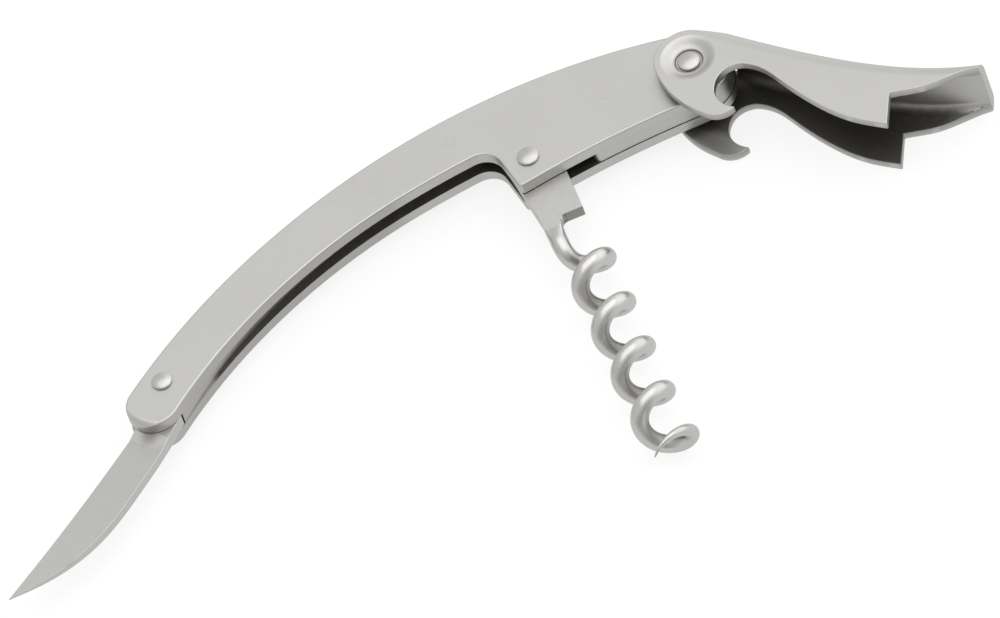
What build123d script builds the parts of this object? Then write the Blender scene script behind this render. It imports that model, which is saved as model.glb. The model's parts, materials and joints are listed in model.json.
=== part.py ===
"""Single-lever folding corkscrew in stainless steel, the kind that waiters carry.

Two curved plates form the handle.  Between them lie a back spring and a spacer, held by flush
pins, and three domed rivets carry the foil blade, the worm and the bent-sheet lever.

The model is drawn in the handle's own axes: the blade rivet is at the origin, +X runs to the
lever rivet, +Y is the side of the hollow back, and Z is the axis of every rivet with zero at
the middle of the handle's thickness.  The last step lays it on its lower side at the origin.
"""
from build123d import *
import os
from math import atan2, cos, degrees, radians, sin, sqrt, tau

# ---------------------------------------------------------------- driving dimensions (mm)
# handle outline
rivet_span = 103.9            # blade rivet to lever rivet
worm_setback = 31.3           # worm rivet, measured back from the lever rivet
worm_rise = 1.4               # worm rivet above the line of the other two
crown = (57.5, 17.8)          # highest point of the back
bay_crown = (53.0, 7.95)      # highest point of the bay that takes the folded worm
blade_end_centre = (-3.4, -2.8)
blade_end_radius = 4.65
bay_fillet = 3.8              # inner corner of the bay
belly_drop = 3.2              # lower edge of the belly below the rivet line, at the bay wall
lever_end_shift = (-0.2, 0.6)  # centre of the round lever end, from the lever rivet
lever_end_radius = 7.15
bay_wall_step = 0.4           # the bay's wall starts this much above the bay's own arc
edge_round = 0.35             # softened outer edges of the plates
end_round = 1.4               # the blade end is eased over more, fading to both sides
end_sweep = 11.0              # radius of that easing, seen from above

# layers
plate_thickness = 2.22
slot_width = 2.6              # gap between the plates, filled by spring and spacer
spacer_setback = 4.6          # open slot between the worm's tang and the spacer
spacer_corner = 1.0
spacer_recess = 0.12          # the spacer's edge, below the plates' edges
arm_depth = 3.0               # short arm of the back spring, over the worm's tang
arm_slit = 4.0                # height of the slit that frees it

# blade
blade_reach = 46.9            # blade rivet to tip
blade_angle = 206.0           # direction of the tip when open
blade_fold = 189.0            # swing from open to shut
blade_tang_radius = 4.1
heel = (-8.8, -4.15)          # where the cutting edge begins
edge_hollow = 0.4             # the cutting edge is very slightly hollow
edge_thickness = 0.2
grind_width = 9.0             # the ground section reaches this far from the blade's axis
grind_edge = 1.5              # and this far beyond it on the edge's side
tip_thickness = 1.5           # spine near the tip
grind_run_out = 1.0           # the grind goes on this far past the tip
plunge_start = 8.0            # the grind begins here, measured from the rivet
plunge_length = 2.8
shoulder_gap = 0.1            # end of the back spring, short of the blade rivet
blade_side_gap = 0.075        # blade beside each plate

# worm
wire_diameter = 3.13
coil_radius = 3.18            # centre line of the coil
coil_pitch = 10.45
coil_turns = 4.39             # from the level of coil_start to the point
even_turns = 3.5              # of these, the turns of constant radius
point_flare = 0.95            # the last turn opens out by this much
flare_turns = 0.5             # over this part of a turn
taper_turns = 0.54            # the wire is drawn out to the point over this length
taper_power = 1.3             # how late the drawing out sets in; 1 is an even cone
point_diameter = 0.26
point_inset = 0.01            # the drawn part is this much slimmer, so that it seats in the coil
point_overlap = 0.04          # and starts this part of a turn inside it
point_steps = 16              # sections that its smooth skin runs through
worm_angle = -100.7           # direction of the coil axis when open
coil_offset = 2.3             # coil axis beside the worm rivet
coil_start = 23.7             # worm rivet to the coil's first turn, along the axis
neck_turn = -0.3              # where the neck's bend runs into the coil
neck_offset = -0.8            # straight neck beside the worm rivet
neck_length = 4.0             # from the shoulder to round wire
stem_length = 1.7             # of this, the length that is as flat as the tang
neck_corner = 0.5
shoulder_round = 1.2          # inner corner between shoulder and neck
tang_side_gap = 0.15          # worm's tang beside each plate
tang_left = 4.05              # tang edges either side of the worm rivet
tang_right = 5.1
tang_length = 12.4            # worm rivet to the shoulder under the tang
tang_crown = 4.3              # rounded head of the tang above the worm rivet

# lever
sheet = 1.5
bend_radius = 3.0             # outside of the folded sheet
lever_angle = -47.0           # direction of the lever's own axis when open
lever_length = 50.4
ear_radius = 5.9
spine_start = 4.8             # where the channel's back begins, beyond the handle's end
ear_rise = 6.5                # height of the ears where they run into the back
flank_depth = 21.7            # the channel is folded this deep before its outline is cut
blank_top = 12.0              # clear above the whole back
catch_reach = 38.4            # lever rivet to the lip catch
dimple_radius = 2.3
dimple_slope = 1.6            # width of the soft slope from the dimple up to the ear's face

# rivets and pins
blade_rivet_radius = 1.3
blade_head_radius = 1.75
worm_rivet_radius = 1.4
worm_head_radius = 1.88
lever_rivet_radius = 1.45
lever_head_radius = 1.95
head_height = 0.8
head_rim = 0.4                # straight edge under the dome
pin_radius = 1.0
pin_inset = 3.0               # smallest distance from a pin to the spring's outline
arm_pass = 0.55               # the thin arm's edge bends here, as a part of the way to the crown

# clearances
running_gap = 0.05            # a bore on its rivet, and the ears beside the plates
press_gap = 0.01              # a rivet or pin in the plates
channel_gap = 0.15            # between the worm and the lever's flanks
spring_gap = 0.3              # round the moving tangs
blade_gap = 0.4               # under the shut cutting edge
spring_recess = 1.5           # back spring below the edge of the bay
back_recess = 0.8             # back spring below the edge of the back

# ---------------------------------------------------------------- derived sizes
handle_half = slot_width / 2 + plate_thickness
blade_thickness = slot_width - 2 * blade_side_gap
tang_thickness = slot_width - 2 * tang_side_gap
channel_half = coil_radius + wire_diameter / 2 + channel_gap
lever_half = channel_half + sheet
blade_pivot = (0.0, 0.0)
lever_pivot = (rivet_span, 0.0)
worm_pivot = (rivet_span - worm_setback, worm_rise)
bay_wall = worm_pivot[0] - tang_left - channel_gap


def polar(centre, radius, angle):
    """Point at an angle in degrees on a circle about a centre."""
    return (centre[0] + radius * cos(radians(angle)), centre[1] + radius * sin(radians(angle)))


def turned(point, angle):
    """Point turned about the origin by an angle in degrees."""
    c, s = cos(radians(angle)), sin(radians(angle))
    return (c * point[0] - s * point[1], s * point[0] + c * point[1])


def crest_height(crest, end, x):
    """Height at x of the arc that leaves a crest level and runs down to an end point."""
    dx, drop = end[0] - crest[0], crest[1] - end[1]
    radius = (dx * dx + drop * drop) / (2 * drop)
    return crest[1] - radius + sqrt(radius * radius - (x - crest[0]) ** 2)


# ---------------------------------------------------------------- handle outline
blade_end_direction = 207
blade_end_tip = polar(blade_end_centre, blade_end_radius, blade_end_direction)
blade_end_low = polar(blade_end_centre, blade_end_radius, -63)
blade_end_high = polar(blade_end_centre, blade_end_radius, 117)
lever_end_centre = (lever_pivot[0] + lever_end_shift[0], lever_pivot[1] + lever_end_shift[1])
lever_end_low = polar(lever_end_centre, lever_end_radius, -101)
lever_end_high = polar(lever_end_centre, lever_end_radius, 67)
mirrored_low = (2 * bay_crown[0] - blade_end_low[0], blade_end_low[1])
bay_top = (bay_wall, crest_height(bay_crown, mirrored_low, bay_wall) + bay_wall_step)
bay_corner = (bay_wall, -belly_drop)


def handle_face():
    """Outline shared by both plates: a long curved back, a bay for the worm and a belly."""
    edges = [
        TangentArc(crown, lever_end_high, tangent=(1, 0)),
        ThreePointArc(lever_end_high, polar(lever_end_centre, lever_end_radius, -17), lever_end_low),
        TangentArc(bay_corner, lever_end_low, tangent=(1, 0)),
        Line(bay_corner, bay_top),
        TangentArc(bay_crown, bay_top, tangent=(1, 0)),
        TangentArc(bay_crown, blade_end_low, tangent=(-1, 0)),
        ThreePointArc(blade_end_low, blade_end_tip, blade_end_high),
        TangentArc(crown, blade_end_high, tangent=(-1, 0)),
    ]
    face = make_face(edges)
    face = fillet(face.vertices().sort_by_distance(bay_top)[0], bay_fillet)
    return fillet(face.vertices().sort_by_distance(bay_corner)[0], 2 * edge_round)


def back_height(x):
    """Height of the back of the handle at x."""
    return crest_height(crown, blade_end_high if x < crown[0] else lever_end_high, x)


def bay_height(x):
    """Height of the edge of the bay at x, left of its crown."""
    return crest_height(bay_crown, blade_end_low, x)


handle = handle_face()

# ---------------------------------------------------------------- where the pins go
blade_tip = polar(blade_pivot, blade_reach, blade_angle)
tip_room = blade_reach + blade_gap
root_left = tip_room           # moved to where the folded tip's circle meets the back
for _ in range(4):
    root_left = sqrt(tip_room ** 2 - back_height(root_left) ** 2)
root_right = bay_wall - bay_fillet
pin_depth = back_recess + pin_inset + pin_radius
spacer_left = worm_pivot[0] + tang_right + spacer_setback
pin_places = {
    "spring_pin_blade_side": (root_left + pin_depth, back_height(root_left) - pin_depth),
    "spring_pin_worm_side": (root_right - pin_radius, back_height(root_right) - pin_depth),
    "spacer_pin": ((spacer_left + lever_pivot[0] - lever_end_radius) / 2, worm_rise + pin_inset),
}
rivet_radii = {blade_pivot: blade_rivet_radius, worm_pivot: worm_rivet_radius,
               lever_pivot: lever_rivet_radius}


def bored(solid, radii, gap):
    """Solid with a through hole at each centre, larger than its pin by a gap."""
    for centre, radius in radii.items():
        solid -= Pos(*centre, 0) * Cylinder(radius + gap, 4 * handle_half)
    return solid


def layer(face, bottom, top):
    """Flat piece that fills a face between two heights."""
    return extrude(Pos(0, 0, bottom) * face, top - bottom, dir=(0, 0, 1))


def plate(side):
    """One handle plate; its outer edges are softened and its inner edges left crisp."""
    blank = layer(handle, slot_width / 2, handle_half)
    rim = blank.faces().sort_by(Axis.Z)[-1].outer_wire().edges()
    blank = fillet(rim, edge_round)
    inward = blade_end_direction + 180
    ease = Cylinder(end_sweep, 2 * handle_half)
    ease = fillet(ease.edges().group_by(Axis.Z)[-1], end_round)
    ease = Pos(*polar(blade_end_tip, end_sweep, inward), 0) * ease
    blank -= Pos(*blade_end_tip, 0) * Cylinder(2 * blade_end_radius, 4 * handle_half) - ease
    if side < 0:
        blank = mirror(blank, Plane.XY)
    pins = {centre: pin_radius for centre in pin_places.values()}
    return bored(blank, {**rivet_radii, **pins}, press_gap)


# ---------------------------------------------------------------- back spring
def half_plane(point, angle, side):
    """Large square with one edge through a point, lying left (+1) or right (-1) of a heading."""
    size = 4 * rivet_span
    return Pos(*point, 0) * Rot(0, 0, angle) * Pos(0, side * size / 2, 0) * Rectangle(size, size)


def back_spring():
    """One flat spring with two arms.

    The thin arm runs along the bay and bears on the blade's tang.  The root is pinned beyond
    the blade's tip, and a short arm under the back bears on the head of the worm's tang.
    """
    nose = -shoulder_gap
    middle = arm_pass * bay_crown[0]
    arm_end = worm_pivot[0] + tang_left
    lower_end = (root_right, bay_crown[1] + spring_recess)
    back_top = (crown[0], crown[1] - back_recess)
    back_left = (nose, back_height(nose) - back_recess)
    back_right = (arm_end, back_height(arm_end) - back_recess)
    zone = make_face([
        ThreePointArc((nose, bay_height(nose)), (middle, bay_height(middle) + spring_recess), lower_end),
        Line(lower_end, (arm_end, lower_end[1])),
        Line((arm_end, lower_end[1]), back_right),
        TangentArc(back_top, back_right, tangent=(1, 0)),
        TangentArc(back_top, back_left, tangent=(-1, 0)),
        Line(back_left, (nose, bay_height(nose))),
    ])
    shut_heel = turned(heel, -blade_fold)
    shut_tip = turned(blade_tip, -blade_fold)
    edge_heading = degrees(atan2(shut_tip[1] - shut_heel[1], shut_tip[0] - shut_heel[0]))
    below_edge = (shut_heel[0], shut_heel[1] - blade_gap)
    zone -= Circle(tip_room) & half_plane(below_edge, edge_heading, 1)
    zone -= Circle(blade_tang_radius + spring_gap / 2)
    zone -= Pos(*worm_pivot, 0) * Circle(tang_right + spring_gap / 2)
    slit_left = root_right + pin_radius
    slit_right = arm_end - arm_depth
    slit_top = back_height(slit_left) - back_recess - arm_depth
    slit = Rectangle(slit_right - slit_left, arm_slit)
    zone -= Pos((slit_left + slit_right) / 2, slit_top - arm_slit / 2, 0) * slit
    spring = layer(zone, -slot_width / 2, slot_width / 2)
    pins = [pin_places["spring_pin_blade_side"], pin_places["spring_pin_worm_side"]]
    return bored(spring, {centre: pin_radius for centre in pins}, press_gap)


def lever_spacer():
    """Filler between the plates at the lever end, just inside their edges."""
    zone = offset(handle, -spacer_recess) & half_plane((spacer_left, 0), 90, -1)
    low = zone.vertices().group_by(Axis.X)[0].sort_by(Axis.Y)[0]
    zone = fillet(low, spacer_corner)
    spacer = layer(zone, -slot_width / 2, slot_width / 2)
    holes = {pin_places["spacer_pin"]: pin_radius, lever_pivot: lever_rivet_radius}
    return bored(spacer, holes, press_gap)


# ---------------------------------------------------------------- blade
def blade_outline():
    """Foil blade: round tang, square shoulder that meets the spring, and a long drop point."""
    shoulder_x = -shoulder_gap - spring_gap
    shoulder = (shoulder_x, bay_height(shoulder_x))
    neck = (-3.6, -8.6)
    edge_middle = ((heel[0] + blade_tip[0]) / 2, (heel[1] + blade_tip[1]) / 2)
    heading = atan2(blade_tip[1] - heel[1], blade_tip[0] - heel[0])
    hollow = (edge_middle[0] - edge_hollow * sin(heading), edge_middle[1] + edge_hollow * cos(heading))
    tang_top = polar(blade_pivot, blade_tang_radius, blade_angle - 8)
    tang_low = (shoulder_x, -sqrt(blade_tang_radius ** 2 - shoulder_x ** 2))
    spine_points = [(-11.4, -13.5), (-23.6, -19.5), (-34.6, -21.3)]
    return make_face([
        Line(tang_top, heel),
        ThreePointArc(heel, hollow, blade_tip),
        Spline(blade_tip, *reversed(spine_points), neck, tangents=[(1, -0.15), (0.8, 0.6)]),
        Line(neck, shoulder),
        Line(shoulder, tang_low),
        ThreePointArc(tang_low, polar(blade_pivot, blade_tang_radius, 40), tang_top),
    ])


def blade_section(along, edge_half, spine_half, before=grind_edge, width=grind_width):
    """Cross-section of the ground blade at a distance from the rivet: thin edge, thick spine."""
    heading = (cos(radians(blade_angle)), sin(radians(blade_angle)), 0)
    across = (-heading[1], heading[0], 0)
    plane = Plane(origin=tuple(along * c for c in heading), x_dir=across, z_dir=heading)
    outline = Polyline((-before, -edge_half), (width, -spine_half), (width, spine_half),
                       (-before, edge_half), (-before, -edge_half))
    return plane * make_face(outline)


def blade():
    """Blade ground flat from spine to edge, with the full thickness kept at the tang."""
    full, thin = blade_thickness / 2, edge_thickness / 2
    plunge_end = plunge_start + plunge_length
    tang = blade_section(plunge_start, full, full, 3 * blade_tang_radius, 3 * blade_tang_radius)
    stock = extrude(tang, -4 * plunge_start)
    stock += loft([blade_section(plunge_start, full, full),
                   blade_section(plunge_end, thin, full)], ruled=True)
    stock += loft([blade_section(plunge_end, thin, full),
                   blade_section(blade_reach + grind_run_out, thin / 2, tip_thickness / 2)], ruled=True)
    body = layer(blade_outline(), -full, full) & stock
    return bored(body, {blade_pivot: blade_rivet_radius}, running_gap)


# ---------------------------------------------------------------- worm
def coil_point(turn):
    """Centre line after so many turns: a helix down -Y whose last part opens out smoothly."""
    opening = min(max((turn - even_turns) / flare_turns, 0), 1)
    radius = coil_radius + point_flare * opening ** 2 * (3 - 2 * opening)
    return (coil_offset + radius * cos(tau * turn), -(coil_start + coil_pitch * turn),
            radius * sin(tau * turn))


def coil_heading(turn):
    """Direction of that centre line, away from the handle."""
    step = 0.001
    return (Vector(*coil_point(turn + step)) - Vector(*coil_point(turn - step))).normalized()


def wire_section(turn, radius):
    """Round cross-section of the wire after so many turns."""
    return Plane(origin=coil_point(turn), z_dir=coil_heading(turn)) * Circle(radius)


def drawn_radius(turn):
    """Half the wire's thickness after so many turns, where it is drawn out to the point."""
    slim = wire_diameter / 2 - point_inset
    drawn = max(1 - (coil_turns - turn) / taper_turns, 0)
    return slim - (slim - point_diameter / 2) * drawn ** taper_power


def worm():
    """Forged worm: flat tang with a shoulder, round neck, right-hand coil and drawn-out point.

    It is drawn hanging down from its rivet, then turned to its open direction.
    """
    wire = wire_diameter / 2
    neck_left, neck_right = neck_offset - wire, neck_offset + wire
    edge_left = -tang_left + channel_gap
    stem_end = -tang_length - stem_length
    tang_outline = make_face([
        ThreePointArc((edge_left, 0), ((tang_right - tang_left) / 2, tang_crown), (tang_right, 0)),
        Line((tang_right, 0), (tang_right, -tang_length)),
        Line((tang_right, -tang_length), (neck_right, -tang_length)),
        Line((neck_right, -tang_length), (neck_right, stem_end)),
        Line((neck_right, stem_end), (neck_left, stem_end)),
        Line((neck_left, stem_end), (neck_left, -tang_length)),
        Line((neck_left, -tang_length), (edge_left, 0)),
    ])
    inner_corner = tang_outline.vertices().sort_by_distance((neck_right, -tang_length))[0]
    tang_outline = fillet(inner_corner, shoulder_round)
    tang = layer(tang_outline, -tang_thickness / 2, tang_thickness / 2)

    down = {"x_dir": (1, 0, 0), "z_dir": (0, -1, 0)}
    neck_top = Plane(origin=(neck_offset, stem_end, 0), **down)
    neck_end = Plane(origin=(neck_offset, -tang_length - neck_length, 0), **down)
    neck = loft([neck_top * RectangleRounded(wire_diameter, tang_thickness, neck_corner),
                 neck_end * Circle(wire)])
    bend_path = Spline(neck_end.origin, coil_point(neck_turn),
                       tangents=[(0, -1, 0), coil_heading(neck_turn)])
    bend = sweep(neck_end * Circle(wire), path=bend_path)

    coil_top = Plane(origin=(coil_offset, -coil_start - neck_turn * coil_pitch, 0), **down)
    even_height = (even_turns - neck_turn) * coil_pitch
    coil_path = coil_top.location * Rot(0, 0, 360 * neck_turn) * Helix(coil_pitch, even_height, coil_radius)
    coil = sweep(wire_section(neck_turn, wire), path=coil_path, is_frenet=True)

    point_start = even_turns - point_overlap
    stations = [point_start + (coil_turns - point_start) * step / point_steps
                for step in range(point_steps + 1)]
    point = loft([wire_section(turn, drawn_radius(turn)) for turn in stations])
    body = bored(tang + neck + bend + coil + point, {(0.0, 0.0): worm_rivet_radius}, running_gap)
    return Pos(*worm_pivot, 0) * Rot(0, 0, worm_angle + 90) * body


# ---------------------------------------------------------------- lever
def lever_side():
    """Side view of the lever in its own axes: ear, cap hook, lip catch and rising foot."""
    ear_low = polar((0, 0), ear_radius, 204)
    ear_high = polar((0, 0), ear_radius, 97)
    hook_low, hook_tip = (6.0, -10.75), (11.2, -8.8)
    throat, brow = (6.35, -4.6), (9.9, 0.1)
    catch = (catch_reach, -8.75)
    catch_root = (catch_reach - 1.5, -2.5)
    end = lever_length
    return make_face([
        ThreePointArc(ear_high, polar((0, 0), ear_radius, 150), ear_low),
        ThreePointArc(ear_low, (-1.2, -7.2), hook_low),
        ThreePointArc(hook_low, (9.5, -10.65), hook_tip),
        ThreePointArc(hook_tip, (8.1, -7.9), throat),
        ThreePointArc(throat, (7.2, -1.5), brow),
        Spline(brow, (17.3, -2.35), (31.2, -8.15), catch, tangents=[(1, 0.05), (1, -0.03)]),
        Line(catch, catch_root),
        Spline(catch_root, (42.0, -0.5), (end, 5.0), tangents=[(0.9, 0.4), (0.8, 0.35)]),
        Line((end, 5.0), (end, blank_top)),
        Line((end, blank_top), (spine_start, blank_top)),
        Line((spine_start, blank_top), (spine_start, ear_rise)),
        Line((spine_start, ear_rise), ear_high),
    ])


def lever():
    """Lever folded from one sheet: a channel that widens to the lip catch, and two flat ears."""
    side = lever_side()
    spine = Spline((-7.0, 9.4), (1.0, 7.85), (11.0, 6.25), (26.0, 4.6), (40.0, 4.75), (51.6, 7.3))
    section_plane = Plane(origin=spine @ 0, x_dir=(0, 0, -1), z_dir=spine % 0)
    outer = Pos(0, -flank_depth / 2, 0) * Rectangle(2 * lever_half, flank_depth)
    outer = fillet(outer.vertices().group_by(Axis.Y)[-1], bend_radius)
    inner = Pos(0, -sheet - flank_depth / 2, 0) * Rectangle(2 * channel_half, flank_depth)
    inner = fillet(inner.vertices().group_by(Axis.Y)[-1], bend_radius - sheet)
    folded = sweep(section_plane * (outer - inner), path=spine)
    before_back = half_plane((spine_start, 0), 90, 1)
    body = folded & layer(side, -lever_half, lever_half)
    body -= layer(before_back, -channel_half, channel_half)
    dish_floor = handle_half + running_gap
    rim = dimple_radius + dimple_slope
    level = [(1, 0), (1, 0)]
    dish = revolve(Plane.XZ * make_face([
        Line((0, dish_floor), (dimple_radius, dish_floor)),
        Spline((dimple_radius, dish_floor), (rim, channel_half), tangents=level),
        Line((rim, channel_half), (rim, lever_half)),
        Spline((dimple_radius, dish_floor + sheet), (rim, lever_half), tangents=level),
        Line((dimple_radius, dish_floor + sheet), (0, dish_floor + sheet)),
        Line((0, dish_floor + sheet), (0, dish_floor)),
    ]), Axis.Z)
    body -= Cylinder(rim, 2 * lever_half)
    body += dish + mirror(dish, Plane.XY)
    body = bored(body, {(0.0, 0.0): lever_rivet_radius}, running_gap)
    return Pos(*lever_pivot, 0) * Rot(0, 0, lever_angle) * body


# ---------------------------------------------------------------- rivets and pins
def rivet(centre, shank, head, seat):
    """Rivet with a low domed head on each side; the seats are the faces under the heads."""
    rise = head_height - head_rim
    cap_radius = (head ** 2 + rise ** 2) / (2 * rise)
    cap = Cylinder(head, head_height) & Pos(0, 0, head_height / 2 - cap_radius) * Sphere(cap_radius)
    body = Cylinder(shank, 2 * seat)
    for tilt in (0, 180):
        body += Rot(tilt, 0, 0) * Pos(0, 0, seat + head_height / 2) * cap
    return Pos(*centre, 0) * body


def flush_pin(centre):
    """Plain pin, ground flush with both plates."""
    return Pos(*centre, 0) * Cylinder(pin_radius, 2 * handle_half)


# ---------------------------------------------------------------- assembly
lever_seat = handle_half + running_gap + sheet + running_gap
parts = {
    "front_plate": plate(1),
    "back_plate": plate(-1),
    "back_spring": back_spring(),
    "lever_spacer": lever_spacer(),
    "blade": blade(),
    "worm": worm(),
    "lever": lever(),
    "blade_rivet": rivet(blade_pivot, blade_rivet_radius, blade_head_radius, handle_half),
    "worm_rivet": rivet(worm_pivot, worm_rivet_radius, worm_head_radius, handle_half),
    "lever_rivet": rivet(lever_pivot, lever_rivet_radius, lever_head_radius, lever_seat),
}
for name, place in pin_places.items():
    parts[name] = flush_pin(place)

whole = Compound(children=[part.moved(Location()) for part in parts.values()]).bounding_box()
shift = Pos(-(whole.min.X + whole.max.X) / 2, -(whole.min.Y + whole.max.Y) / 2, -whole.min.Z)

os.makedirs("parts", exist_ok=True)
for name, part in parts.items():
    export_step(shift * part, f"parts/{name}.step")

print("size", whole.size)
for name, pivot in (("blade", blade_pivot), ("worm", worm_pivot), ("lever", lever_pivot)):
    print(name, "pivot", shift.position + Vector(*pivot, 0))
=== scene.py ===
# %% [markdown]
# A folding corkscrew, dressed for its portrait
#
# The tool is all stainless steel: two curved handle plates, a foil blade, a coiled worm and a
# lever folded from one sheet.  The CAD model gives every piece its true shape and place.  Here
# the pieces get soft edges, a smooth skin where the CAD mesh is faceted, and their finishes.

# %% Load the frame and measure it
import json
from math import asin, cos, pi, radians, sin

import bmesh
import bpy
import numpy as np
from mathutils import Matrix
from mathutils.kdtree import KDTree


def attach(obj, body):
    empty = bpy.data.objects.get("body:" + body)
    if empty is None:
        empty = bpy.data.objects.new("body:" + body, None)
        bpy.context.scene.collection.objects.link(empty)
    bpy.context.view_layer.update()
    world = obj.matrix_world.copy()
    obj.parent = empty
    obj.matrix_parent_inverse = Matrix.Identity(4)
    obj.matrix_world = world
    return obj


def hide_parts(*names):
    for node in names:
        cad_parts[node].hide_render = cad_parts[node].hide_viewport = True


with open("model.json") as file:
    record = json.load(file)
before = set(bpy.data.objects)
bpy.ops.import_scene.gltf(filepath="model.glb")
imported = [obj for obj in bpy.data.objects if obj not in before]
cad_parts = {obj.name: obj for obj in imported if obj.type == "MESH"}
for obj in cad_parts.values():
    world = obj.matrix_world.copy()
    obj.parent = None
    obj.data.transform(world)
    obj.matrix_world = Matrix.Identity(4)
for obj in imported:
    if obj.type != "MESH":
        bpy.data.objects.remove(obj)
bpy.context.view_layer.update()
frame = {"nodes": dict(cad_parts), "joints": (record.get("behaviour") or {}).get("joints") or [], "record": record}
nodes = frame["nodes"]
joints = {joint["name"]: joint for joint in frame["joints"]}
slot_of = {entry["node"]: entry["material_slot"] for entry in frame["record"]["subparts"]}
body_of = {name: body for body, members in frame["record"]["behaviour"]["bodies"].items()
           for name in members}
MM = 0.001


# %% [markdown]
# The camera
#
# The portrait is taken from far away with a long lens, so lines that are parallel on the tool
# stay nearly parallel in the picture.  The camera stands a little to the left of the handle's
# middle, well above it, and is rolled so that the tool lies across the frame from lower left to
# upper right.  A turn round Z, a height above the horizon and a roll say all of that.

# %% Place the camera
CAMERA_TURN = radians(-13.3)      # round the tool, from straight in front
CAMERA_HEIGHT = radians(50.4)     # above the horizon
CAMERA_ROLL = radians(20.4)
CAMERA_AIM = np.array([3.16, 3.825, 6.395]) * MM
CAMERA_DISTANCE = 4.8
CAMERA_NEAR, CAMERA_FAR = 0.05, 20.0
FRAME_WIDTH = 166.67 * MM         # how much of the scene the picture is wide
SENSOR_WIDTH = 36.0               # in mm


def camera_axes(turn, height, roll):
    """Right, up and backward directions of a camera.

    Backward points from the tool to the camera.  Level right and up are square to it, and the
    roll mixes those two by its cosine and sine.
    """
    back = np.array([sin(turn) * cos(height), -cos(turn) * cos(height), sin(height)])
    level_right = np.array([cos(turn), sin(turn), 0.0])
    level_up = np.cross(back, level_right)
    right = cos(roll) * level_right - sin(roll) * level_up
    up = sin(roll) * level_right + cos(roll) * level_up
    return right, up, back


def placed(axes, place):
    """The matrix of an object whose own X, Y and Z point along three axes, at a place."""
    matrix = np.eye(4)
    matrix[:3, :3] = np.column_stack(axes)
    matrix[:3, 3] = place
    return Matrix(matrix.tolist())


camera_data = bpy.data.cameras.new("portrait_camera")
camera_data.sensor_width = SENSOR_WIDTH
camera_data.lens = SENSOR_WIDTH * CAMERA_DISTANCE / FRAME_WIDTH
camera_data.clip_start, camera_data.clip_end = CAMERA_NEAR, CAMERA_FAR
camera = bpy.data.objects.new("portrait_camera", camera_data)
bpy.context.scene.collection.objects.link(camera)
axes = camera_axes(CAMERA_TURN, CAMERA_HEIGHT, CAMERA_ROLL)
camera.matrix_world = placed(axes, CAMERA_AIM + CAMERA_DISTANCE * axes[2])
bpy.context.scene.camera = camera
print("lens in mm:", round(camera_data.lens, 1))


# %% [markdown]
# Floor and light
#
# A studio sweep is white paper in a tent of white cloth.  The paper here glows a little for the
# camera and for reflections, so that it reads as white, and its paint is grey enough to keep a
# faint shadow under the tool.  The tent is the world: as bright behind and beside the tool as it
# is overhead, dim low down in front, and brighter towards the right than towards the left, which
# is what shapes round steel.  One wide lamp overhead makes the soft highlight.

# %% Helpers that build node trees
def new_material(name):
    """An empty node material and its tree."""
    material = bpy.data.materials.new(name)
    material.use_nodes = True
    material.node_tree.nodes.clear()
    return material, material.node_tree


def plug(tree, socket, value):
    """Links an input to another node's output, or gives it a plain value."""
    if isinstance(value, bpy.types.NodeSocket):
        tree.links.new(value, socket)
    else:
        socket.default_value = value


def add_node(tree, kind, settings=None, **sockets):
    """Adds a node; settings are its own properties, sockets are values or links for its inputs.

    A socket's name is written with _ for a space.
    """
    node = tree.nodes.new(kind)
    for key, value in (settings or {}).items():
        setattr(node, key, value)
    for key, value in sockets.items():
        plug(tree, node.inputs[key.replace("_", " ")], value)
    return node


def math_node(tree, operation, *values, clamp=False):
    """The result of one Math node; its values are numbers or sockets."""
    node = add_node(tree, "ShaderNodeMath", {"operation": operation, "use_clamp": clamp})
    for socket, value in zip(node.inputs, values):
        plug(tree, socket, value)
    return node.outputs[0]


def vector_node(tree, operation, *values):
    """One Vector Math node; its values are vectors or sockets."""
    node = add_node(tree, "ShaderNodeVectorMath", {"operation": operation})
    for socket, value in zip(node.inputs, values):
        plug(tree, socket, value)
    return node


def smooth_step(tree, value, start, end, low=0.0, high=1.0):
    """Goes from low to high with an S-curve as the value goes from start to end."""
    node = add_node(tree, "ShaderNodeMapRange", {"interpolation_type": "SMOOTHSTEP"}, Value=value,
                    From_Min=start, From_Max=end, To_Min=low, To_Max=high)
    return node.outputs[0]


# %% Floor
PAPER_PAINT = 0.24                # what a lamp lights
PAPER_GLOW = 0.80                 # what the camera sees of the paper besides
PAPER_MIRRORED = 0.58             # what metal sees of it besides
FLOOR_HALF = 3.0                  # in metres


def make_paper():
    """Grey paint that takes a shadow, plus a glow that only some rays see.

    Glow = camera ray x PAPER_GLOW + glossy or transmission ray x PAPER_MIRRORED.
    """
    material, tree = new_material("paper")
    path = add_node(tree, "ShaderNodeLightPath")
    seen = math_node(tree, "MULTIPLY", path.outputs["Is Camera Ray"], PAPER_GLOW)
    mirrored = math_node(tree, "MAXIMUM", path.outputs["Is Glossy Ray"],
                         path.outputs["Is Transmission Ray"])
    strength = math_node(tree, "MULTIPLY_ADD", mirrored, PAPER_MIRRORED, seen)
    glow = add_node(tree, "ShaderNodeEmission", Strength=strength)
    paint = add_node(tree, "ShaderNodeBsdfDiffuse", Color=(PAPER_PAINT,) * 3 + (1,))
    both = add_node(tree, "ShaderNodeAddShader")
    plug(tree, both.inputs[0], glow.outputs[0])
    plug(tree, both.inputs[1], paint.outputs[0])
    add_node(tree, "ShaderNodeOutputMaterial", Surface=both.outputs[0])
    return material


def make_floor():
    """A square sheet at the height the tool lies on."""
    h = FLOOR_HALF
    mesh = bpy.data.meshes.new("floor")
    mesh.from_pydata([(-h, -h, 0), (h, -h, 0), (h, h, 0), (-h, h, 0)], [], [(0, 1, 2, 3)])
    floor = bpy.data.objects.new("floor", mesh)
    bpy.context.scene.collection.objects.link(floor)
    mesh.materials.append(make_paper())


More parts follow.
